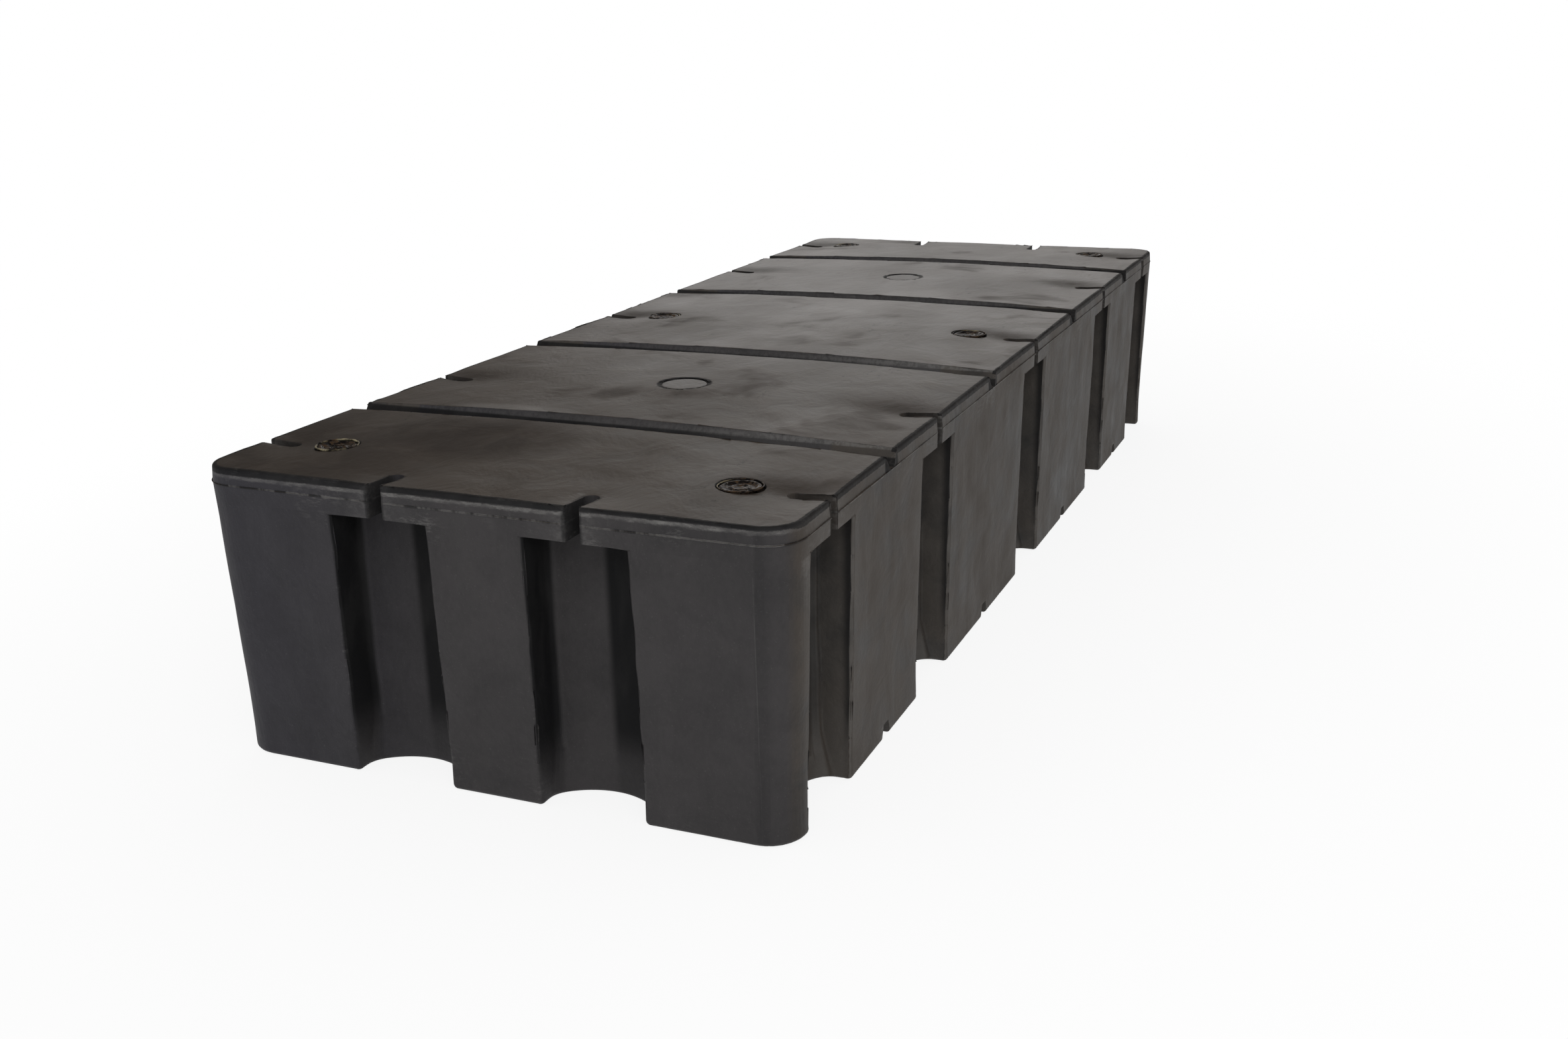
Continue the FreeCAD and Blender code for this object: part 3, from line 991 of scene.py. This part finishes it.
@dataclass
class DrumShell:
    """The rotomoulded shell: flutes, slotted rim, channels and crowned skin."""

    width: float = 0.9144
    length: float = 2.4384
    rim_height: float = 0.4445
    crown_rise: float = 0.009
    crown_fade: float = 0.350
    parting_height: float = 0.4191
    rim_underside: float = 0.3937
    ridge_proud: float = 0.001
    skin_cell: float = 0.020
    wall_cell: float = 0.028
    pillar_cell: float = 0.042
    most_corners: int = 8
    flute_half: float = 0.077
    lip_wander: float = 0.0060
    warp_middle: float = 0.85
    skin_near: float = 0.0012
    skin_level: float = 0.985
    flat_angle: float = 0.25
    skin_angle: float = 4.0
    round_angle: float = 52.0
    slot_length: float = 0.065
    slot_reach: float = 0.040
    slot_sink: float = 0.0056
    sink_from: float = 0.85
    sink_tail: float = 0.7
    sink_at_edge: float = 0.25
    edge_fade: float = 0.05
    ridge_clear: float = 0.0015
    rim_clear: float = 0.002
    rim_fade: float = 0.018
    wall_slope: float = 0.6
    foot_band: float = 0.010
    square_on: float = 0.97
    facing_down: float = 0.9
    ceiling_near: float = 0.003
    foot_still: float = 0.004
    foot_fade: float = 0.05
    seat_still: float = 0.045
    seat_fade: float = 0.05
    waves: tuple[tuple[str, float, float], ...] = (
        ("swell", 0.26, 0.0036),
        ("ripple", 0.085, 0.0016),
    )
    lip_foot: float = 0.012
    lip_top: float = 0.006
    lip_fade: float = 0.03
    lip_half: float = 0.034
    lip_depth: float = 0.105
    lip_lumps: float = 0.060
    bend_from: float = 9.0
    bend_over: float = 16.0
    mouth_reach: float = 0.020
    pucker_shade_reach: float = 0.055
    pucker_shade_aside: float = 0.024
    side_stations: tuple[float, ...] = (-1.0668, -0.6096, 0.0, 0.6096, 1.0668)
    end_stations: tuple[float, ...] = (-0.1524, 0.1524)

    @property
    def halves(self) -> tuple[float, float]:
        """Half the width and half the length, without the parting ridge."""
        return self.width / 2 - self.ridge_proud, self.length / 2 - self.ridge_proud

    def skin_height(self, places: np.ndarray) -> np.ndarray:
        """The height of the crowned skin over each place.

        Args:
            places: one row of X, Y and Z for each point.

        Returns:
            One height for each point.
        """
        across = 1 - (places[:, 0] / self.halves[0]) ** 2
        inward = unit((self.halves[1] - np.abs(places[:, 1])) / self.crown_fade)
        return self.rim_height + self.crown_rise * across * (1 - (1 - inward) ** 2)

    def on_skin(self, piece: Piece) -> np.ndarray:
        """Finds the faces of the crowned skin itself.

        Args:
            piece: the shell.

        Returns:
            One true or false value for each face.
        """
        middles, ways = faces(piece)
        near = np.abs(middles[:, 2] - self.skin_height(middles)) < self.skin_near
        return near & (ways[:, 2] > self.skin_level)

    def copied(self) -> Piece:
        """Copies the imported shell, merged and without its stored directions.

        Returns:
            The copy, whose flats are single faces.
        """
        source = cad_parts["drum_body"]
        piece = bpy.data.objects.new("shell", source.data.copy())
        bpy.context.scene.collection.objects.link(piece)
        hold(piece)
        bpy.ops.mesh.customdata_custom_splitnormals_clear()
        bpy.ops.object.mode_set(mode="EDIT")
        all_faces()
        bpy.ops.mesh.remove_doubles(threshold=MERGED_BELOW)
        bpy.ops.mesh.dissolve_limited(angle_limit=math.radians(self.flat_angle))
        bpy.ops.object.mode_set(mode="OBJECT")
        choose(piece, self.on_skin(piece))
        all_faces()
        bpy.ops.mesh.dissolve_limited(angle_limit=math.radians(self.skin_angle))
        release()
        return piece

    def divided(self, piece: Piece) -> None:
        """Cuts the skin and the rim into small cells, and the walls into bands.

        Args:
            piece: the shell.
        """
        for axis, half in enumerate(self.halves):
            middles, _ = faces(piece)
            above = middles[:, 2] > self.parting_height + self.ridge_clear
            cut(piece, above, axis, spread(-half, half, self.skin_cell))
        middles, ways = faces(piece)
        walls = (middles[:, 2] < self.rim_underside) & (np.abs(ways[:, 2]) < self.wall_slope)
        cut(piece, walls, 2, spread(self.foot_band, self.rim_underside, self.wall_cell))
        for axis, half in enumerate(self.halves):
            middles, ways = faces(piece)
            broad = np.abs(ways[:, 1 - axis]) > self.square_on
            broad &= middles[:, 2] < self.rim_underside
            ceiling = np.abs(middles[:, 2] - self.rim_underside) < self.ceiling_near
            ceiling &= ways[:, 2] < -self.facing_down
            cut(piece, broad | ceiling, axis, spread(-half, half, self.pillar_cell))
        choose(piece, corners_of(piece, "vertex_index")[1] > self.most_corners)
        all_faces()
        bpy.ops.mesh.quads_convert_to_tris(quad_method="BEAUTY", ngon_method="BEAUTY")
        release()

    def crowned(self, piece: Piece) -> None:
        """Lifts every corner of the skin's cells onto the true crown.

        Args:
            piece: the shell.
        """
        used = touched(piece, self.on_skin(piece))
        places = points(piece)
        places[used, 2] = self.skin_height(places)[used]
        put(piece, places)

    def mouths(self) -> list[tuple[float, float, Side]]:
        """Finds the bolt slots' mouths.

        Returns:
            The place of each one in plan, and the side that it opens to.
        """
        found = []
        for side in Side:
            x, y = (out * half for out, half in zip(side.value, self.halves))
            for station in self.side_stations if side.long else self.end_stations:
                found.append((x or station, y or station, side))
        return found

    def sunk(self, piece: Piece) -> None:
        """Lets the skin sink softly round each bolt slot.

        Args:
            piece: the shell.
        """
        places = points(piece)
        weights = np.zeros(len(places))
        for x, y, side in self.mouths():
            out_x, out_y = side.value
            inward = -(places[:, 0] - x) * out_x - (places[:, 1] - y) * out_y
            aside = np.abs((places[:, 0] - x) * out_y) + np.abs((places[:, 1] - y) * out_x)
            past = inward - self.slot_length * self.sink_from
            gap = np.hypot(np.where(past > 0, past * self.sink_tail, past), aside)
            edge = self.sink_at_edge + (1 - self.sink_at_edge) * unit(inward / self.edge_fade)
            weights = np.maximum(weights, edge * bell(gap, self.slot_reach))
        weights *= unit((places[:, 2] - self.parting_height - self.rim_clear) / self.rim_fade)
        displace(piece, weigh(piece, "sink", weights), "Z", -self.slot_sink, {"mid_level": 0.0})

    def warped(self, piece: Piece) -> None:
        """Gives the walls and the skin the slow waves of a cooled moulding.

        Args:
            piece: the shell.
        """
        places = points(piece)
        clear = unit((places[:, 2] - self.foot_still) / self.foot_fade)
        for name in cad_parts:
            if name != "drum_body":
                low, high = (np.array(corner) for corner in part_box(name))
                gap = np.hypot(*((places - (low + high) / 2)[:, :2].T))
                seat = np.minimum(clear, unit((gap - self.seat_still) / self.seat_fade))
                clear = np.where(places[:, 2] > self.parting_height, seat, clear)
        group = weigh(piece, "warp", clear)
        for name, size, depth in self.waves:
            displace(piece, group, "NORMAL", depth, clouds(name, size, 1, self.warp_middle))

    def wandered(self, piece: Piece) -> None:
        """Lets the upright lips and walls of the flutes wander from side to side.

        Args:
            piece: the shell.
        """
        places = points(piece)
        clear = unit((places[:, 2] - self.lip_foot) / self.lip_fade)
        clear *= unit((self.rim_underside - self.lip_top - places[:, 2]) / self.lip_fade)
        for axis, stations in enumerate((self.end_stations, self.side_stations)):
            depth = self.halves[1 - axis] - np.abs(places[:, 1 - axis])
            weights = np.zeros(len(places))
            for station in stations:
                gap = np.abs(np.abs(places[:, axis] - station) - self.flute_half)
                weights = np.maximum(weights, unit(1 - gap / self.lip_half))
            weights *= clear * unit((self.lip_depth - depth) / 0.01)
            name = f"wander_{axis}"
            group = weigh(piece, name, weights)
            displace(piece, group, "XY"[axis], self.lip_wander, clouds(name, self.lip_lumps))

    def worn(self, piece: Piece) -> None:
        """Marks the scuffed outward bends, the slot mouths, and the painted shade on the skin
        past the side slots.

        Args:
            piece: the shell.
        """
        middles, ways = faces(piece)
        corners, counts = corners_of(piece, "edge_index")
        owner = np.repeat(np.arange(len(counts)), counts)
        order = np.argsort(corners, kind="stable")
        edges, owner = corners[order], owner[order]
        twin = np.nonzero(edges[1:] == edges[:-1])[0]
        edge, one, two = edges[twin], owner[twin], owner[twin + 1]
        turn = np.arccos(np.clip((ways[one] * ways[two]).sum(axis=1), -1, 1))
        outward = ((middles[two] - middles[one]) * ways[one]).sum(axis=1) < 0
        bend = np.where(outward, turn, 0)
        ends = ends_of(piece)[edge]
        most = np.zeros(len(piece.data.vertices))
        np.maximum.at(most, ends[:, 0], bend)
        np.maximum.at(most, ends[:, 1], bend)
        mark(piece, "wear", unit((np.degrees(most) - self.bend_from) / self.bend_over))
        places = points(piece)
        near = np.zeros(len(places))
        painted_pucker_shade = np.zeros(len(places))
        for x, y, side in self.mouths():
            gap = np.hypot(places[:, 0] - x, places[:, 1] - y)
            near = np.maximum(near, bell(gap, self.mouth_reach))
            if side.long:
                # Painted shade: a soft dark patch on the skin past each side slot's inner end,
                # towards +Y.
                inward = (x - places[:, 0]) * side.value[0] - self.slot_length
                beyond = places[:, 1] - y - self.pucker_shade_aside
                away = (inward / self.pucker_shade_reach) ** 2 + (beyond / self.pucker_shade_aside) ** 2
                painted_pucker_shade = np.maximum(painted_pucker_shade, np.exp(-0.5 * away))
        mark(piece, "mouth", near * (places[:, 2] > self.rim_underside - self.rim_clear))
        mark(piece, "painted_pucker_shade", painted_pucker_shade)

    def smoothed(self, piece: Piece) -> None:
        """Shades the rounds smooth and keeps the flats flat.

        Args:
            piece: the shell.
        """
        hold(piece)
        angle = math.radians(self.round_angle)
        bpy.ops.object.shade_smooth_by_angle(angle=angle, keep_sharp_edges=False)
        apply(piece, "WEIGHTED_NORMAL", {"mode": "FACE_AREA", "weight": 50, "keep_sharp": True})

    def kept_inside(self, piece: Piece) -> None:
        """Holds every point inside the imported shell's own box."""
        low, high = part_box("drum_body")
        put(piece, np.clip(points(piece), np.array(low), np.array(high)))

    def build(self) -> Piece:
        """Makes the shell.

        Returns:
            The finished piece.
        """
        piece = self.copied()
        steps = (self.divided, self.crowned, self.sunk, self.warped, self.wandered)
        for step in (*steps, self.kept_inside, self.worn, self.smoothed):
            step(piece)
        piece.data.materials.clear()
        piece.data.materials.append(Polyethylene().material())
        settle(piece, ["drum_body"])
        return piece


# The plugs and the caps


def rings(steps: Iterable[tuple[float, float]]) -> None:
    """Insets the selected face in rings, and closes the last one in a point.

    Args:
        steps: the width and the rise of each ring, from the edge inwards.
    """
    for wide, rise in steps:
        bpy.ops.mesh.inset(thickness=wide, depth=rise, use_even_offset=True)
    bpy.ops.mesh.poke()


def named(name: str) -> Piece:
    """Names the primitive that was added last, and settles its place in its mesh.

    Args:
        name: the name.

    Returns:
        The piece.
    """
    piece = bpy.context.object
    piece.name = piece.data.name = name
    bpy.ops.object.transform_apply(location=True, rotation=True, scale=True)
    return piece


def disc(
    name: str, radius: float, thick: float, sides: int, steps: Iterable[tuple[float, float]]
) -> Piece:
    """A round piece with a ringed top, standing on the origin.

    Args:
        name: the piece's name.
        radius: its outer radius.
        thick: its height before the rings.
        sides: how many sides the circle has.
        steps: the rings of its top, from the edge inwards.

    Returns:
        The piece.
    """
    deselect()
    bpy.ops.mesh.primitive_cylinder_add(
        vertices=sides, radius=radius, depth=thick, location=(0, 0, thick / 2)
    )
    piece = named(name)
    choose(piece, faces(piece)[1][:, 2] > 0.9)
    rings(steps)
    release()
    return piece


def bead(name: str, radius: float, thick: float, height: float, sides: int) -> Piece:
    """A round bead of plastic about the origin.

    Args:
        name: the piece's name.
        radius: the radius of its middle line.
        thick: the radius of its section.
        height: how high it lies.
        sides: how many sides its circle has.

    Returns:
        The piece.
    """
    deselect()
    bpy.ops.mesh.primitive_torus_add(
        major_radius=radius,
        minor_radius=thick,
        major_segments=sides,
        minor_segments=8,
        location=(0, 0, height),
    )
    return named(name)


def crumple(piece: Piece, lumps: Lumps, low: float) -> None:
    """Crumples a piece by one layer of lumps after another.

    Args:
        piece: the piece.
        lumps: the name, size, depth and direction of each layer.
        low: the height above which the points move.
    """
    for name, size, depth, way in lumps:
        group = weigh(piece, name, (points(piece)[:, 2] > low).astype(float))
        displace(piece, group, way, depth, clouds(name, size, 2))


def joined(first: Piece, second: Piece) -> Piece:
    """Joins the second piece into the first.

    Args:
        first: the piece that stays.
        second: the piece that goes into it.

    Returns:
        The joined piece.
    """
    hold(first)
    second.select_set(True)
    bpy.ops.object.join()
    return bpy.context.object


def seated(
    pattern: Piece, name: str, node: str, turn: float, finish: Finish, slot: str
) -> Piece:
    """Sets a turned copy of a pattern on the floor of a node's recess.

    Args:
        pattern: the piece about the origin.
        name: the new piece's name.
        node: the node that it stands for.
        turn: how far it is turned, in degrees.
        finish: its material.
        slot: not used.

    Returns:
        The finished piece.
    """
    low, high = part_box(node)
    piece = copy_of(pattern, name)
    moved(piece, (low[0] / 2 + high[0] / 2, low[1] / 2 + high[1] / 2, low[2]), turn)
    piece.data.materials.append(finish)
    settle(piece, [node])
    return piece


class PlugKind(Enum):
    """How the hot iron left a plug."""

    SWIRLED = "swirled"
    CRUMPLED = "crumpled"


@dataclass
class SteamPlugs:
    """The six plugs that were melted into the steam holes."""

    radius: float = 0.0295
    thick: float = 0.0052
    rim: float = 0.0322
    sides: int = 40
    bead_sides: int = 56
    ripples: tuple[tuple[float, float], ...] = (
        (0.0022, 0.0012),
        (0.0035, 0.0003),
        (0.0030, -0.0026),
        (0.0040, -0.0010),
        (0.0032, 0.0020),
        (0.0026, 0.0001),
        (0.0032, -0.0018),
        (0.0030, 0.0008),
    )
    swirls: Lumps = (("swirl", 0.020, 0.0030, "Z"), ("pull", 0.014, 0.0030, "X"))
    creases: Lumps = (("crush", 0.0085, 0.0062, "Z"), ("twist", 0.0070, 0.0050, "X"))
    neat_bead: tuple[float, ...] = (0.0012, 0.0009, 0.0012, 0.011, 0.0030)
    rough_bead: tuple[float, ...] = (0.0016, 0.0014, 0.0018, 0.0060, 0.0036)

    def kind_of(self, number: int) -> PlugKind:
        """The near left plug is crumpled, and the others are swirled."""
        return PlugKind.CRUMPLED if number == 1 else PlugKind.SWIRLED

    def pattern(self, kind: PlugKind) -> Piece:
        """Models one plug about the origin.

        Args:
            kind: how the hot iron left it.

        Returns:
            The plug, with its pale flash marked.
        """
        swirled = kind is PlugKind.SWIRLED
        piece = disc(f"plug_{kind.value}", self.radius, self.thick, self.sides, self.ripples)
        apply(piece, "SUBSURF", {"levels": 1, "render_levels": 1})
        crumple(piece, self.swirls if swirled else self.creases, self.thick * 0.7)
        inside, thick, rise, size, depth = self.neat_bead if swirled else self.rough_bead
        flash = bead("flash", self.rim - inside, thick, self.thick + rise, self.bead_sides)
        crumple(flash, (("drip", size, depth, "Z"),), 0.0)
        places = points(flash)
        round_it = np.arctan2(places[:, 1], places[:, 0])
        lump = bell(np.abs(round_it) - math.pi, 0.35)
        waves = 0.4 * np.sin(2 * round_it - 1.0) + 0.35 * np.sin(7 * round_it)
        torn = np.clip(0.45 + waves, 0.0, 1.0)
        mark(flash, "flash", lump if swirled else torn)
        mark(piece, "flash", 0.0)
        piece = joined(piece, flash)
        bpy.ops.object.shade_smooth()
        return piece

    def build(self) -> list[Piece]:
        """Makes the six plugs.

        Returns:
            The finished pieces.
        """
        finish = MeltedPlug().material()
        patterns = {kind: self.pattern(kind) for kind in PlugKind}
        made = []
        for number in range(1, 7):
            pattern = patterns[self.kind_of(number)]
            turn = 0.0 if number < 3 else 67.0 * number
            names = f"melted_plug_{number}", f"steam_plug_{number}"
            made.append(seated(pattern, *names, turn, finish, "weld_plug"))
        for pattern in patterns.values():
            bpy.data.objects.remove(pattern, do_unlink=True)
        return made


@dataclass
class FillCaps:
    """The two flat caps over the filling holes, each in a crumbly ring of weld."""

    radius: float = 0.0378
    thick: float = 0.0046
    gap_radius: float = 0.0393
    bead_thick: float = 0.0017
    bead_sunk: float = 0.0008
    sides: int = 72
    bead_sides: int = 110
    smooth_angle: float = 40.0
    dome: tuple[tuple[float, float], ...] = (
        (0.0006, 0.0006),
        (0.0012, 0.0003),
        (0.0080, 0.0002),
        (0.0100, 0.00015),
        (0.0100, 0.0001),
    )
    dents: Lumps = (("dent", 0.030, 0.0007, "Z"),)
    crumbs: Lumps = (("crumb", 0.0042, 0.0034, "Z"), ("gather", 0.0060, 0.0030, "X"))

    def pattern(self) -> Piece:
        """Models one cap about the origin.

        Returns:
            The cap, with its ring of weld marked.
        """
        piece = disc("cap", self.radius, self.thick, self.sides, self.dome)
        apply(piece, "SUBSURF", {"levels": 1, "render_levels": 1, "subdivision_type": "SIMPLE"})
        crumple(piece, self.dents, self.thick * 0.9)
        mark(piece, "weld", 0.0)
        height = self.thick - self.bead_sunk
        weld = bead("weld", self.gap_radius, self.bead_thick, height, self.bead_sides)
        crumple(weld, self.crumbs, 0.0)
        mark(weld, "weld", 1.0)
        piece = joined(piece, weld)
        angle = math.radians(self.smooth_angle)
        bpy.ops.object.shade_smooth_by_angle(angle=angle, keep_sharp_edges=False)
        return piece

    def build(self) -> list[Piece]:
        """Makes the two caps.

        Returns:
            The finished pieces.
        """
        finish = CapPlastic().material()
        pattern = self.pattern()
        made = []
        for number in (1, 2):
            names = f"welded_cap_{number}", f"fill_cap_{number}"
            made.append(seated(pattern, *names, 130.0 * number, finish, "float_shell"))
        bpy.data.objects.remove(pattern, do_unlink=True)
        return made


# Light, floor and camera


@dataclass
class Studio:
    """The camera, the soft lamps and the white sweep."""

    spot: Point = (1.1551, -2.8926, 1.0383)
    heading: float = 22.9006
    tilt: float = 72.2928
    roll: float = -1.1844
    lens: float = 36.554
    sensor: float = 36.0
    farthest: float = 60.0
    sweep: float = 90.0
    sweep_drop: float = 0.0005
    lamps: tuple[tuple[str, Point, Point, tuple[float, float], float], ...] = (
        ("key", (1.7, -3.4, 2.6), (0.2, -0.9, 0.2), (1.8, 1.8), 32.0),
        ("back", (-1.6, 4.6, 2.0), (0.0, 0.4, 0.3), (3.0, 1.2), 26.0),
    )

    def camera(self) -> None:
        """Adds the camera at the photograph's place."""
        deselect()
        bpy.ops.object.camera_add(location=self.spot)
        turn = Matrix.Identity(3)
        for angle, axis in ((self.heading, "Z"), (self.tilt, "X"), (self.roll, "Z")):
            turn = turn @ Matrix.Rotation(math.radians(angle), 3, axis)
        made = self.turned("camera", turn.to_quaternion())
        sizes = {"lens": self.lens, "sensor_width": self.sensor, "clip_end": self.farthest}
        having(made.data, sizes)
        bpy.context.scene.camera = made

    def turned(self, name: str, turn: Quaternion) -> Piece:
        """Names and turns the camera or the lamp that was added last."""
        options = {"name": name, "rotation_mode": "QUATERNION", "rotation_quaternion": turn}
        return having(bpy.context.object, options)

    def lamp(
        self, name: str, spot: Point, aim: Point, size: tuple[float, float], power: float
    ) -> None:
        """Adds one soft panel of light.

        Args:
            name: the lamp's name.
            spot: where it hangs.
            aim: the point that it faces.
            size: its width and height.
            power: its power in watts.
        """
        deselect()
        bpy.ops.object.light_add(type="AREA", location=spot)
        made = self.turned(name, (Vector(aim) - Vector(spot)).to_track_quat("-Z", "Y"))
        sizes = {"shape": "RECTANGLE", "size": size[0], "size_y": size[1], "energy": power}
        having(made.data, sizes)

    def floor(self) -> None:
        """Lays the white sweep under the drum."""
        deselect()
        bpy.ops.mesh.primitive_plane_add(size=1.0, location=(0, 0, -self.sweep_drop))
        made = bpy.context.object
        made.name = "sweep"
        bpy.ops.object.mode_set(mode="EDIT")
        all_faces()
        bpy.ops.transform.resize(value=(self.sweep, self.sweep, 1.0))
        bpy.ops.object.mode_set(mode="OBJECT")
        made.data.materials.append(PaleFloor().material())

    def build(self) -> None:
        """Sets up the whole studio."""
        bpy.context.scene.view_settings.view_transform = "Standard"
        bpy.context.scene.world = PaleRoom().world()
        self.camera()
        self.floor()
        for lamp in self.lamps:
            self.lamp(*lamp)


def corners(low: Vector, high: Vector) -> list[list[float]]:
    """Two corners as plain lists of numbers."""
    return [[float(v) for v in low], [float(v) for v in high]]


def main() -> None:
    """Builds the studio and every piece."""
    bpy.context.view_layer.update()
    Studio().build()
    pieces = [DrumShell().build(), *SteamPlugs().build(), *FillCaps().build()]
    for piece in pieces:
        log.info("%s: %d faces", piece.name, len(piece.data.polygons))


if __name__ == "__main__":
    main()
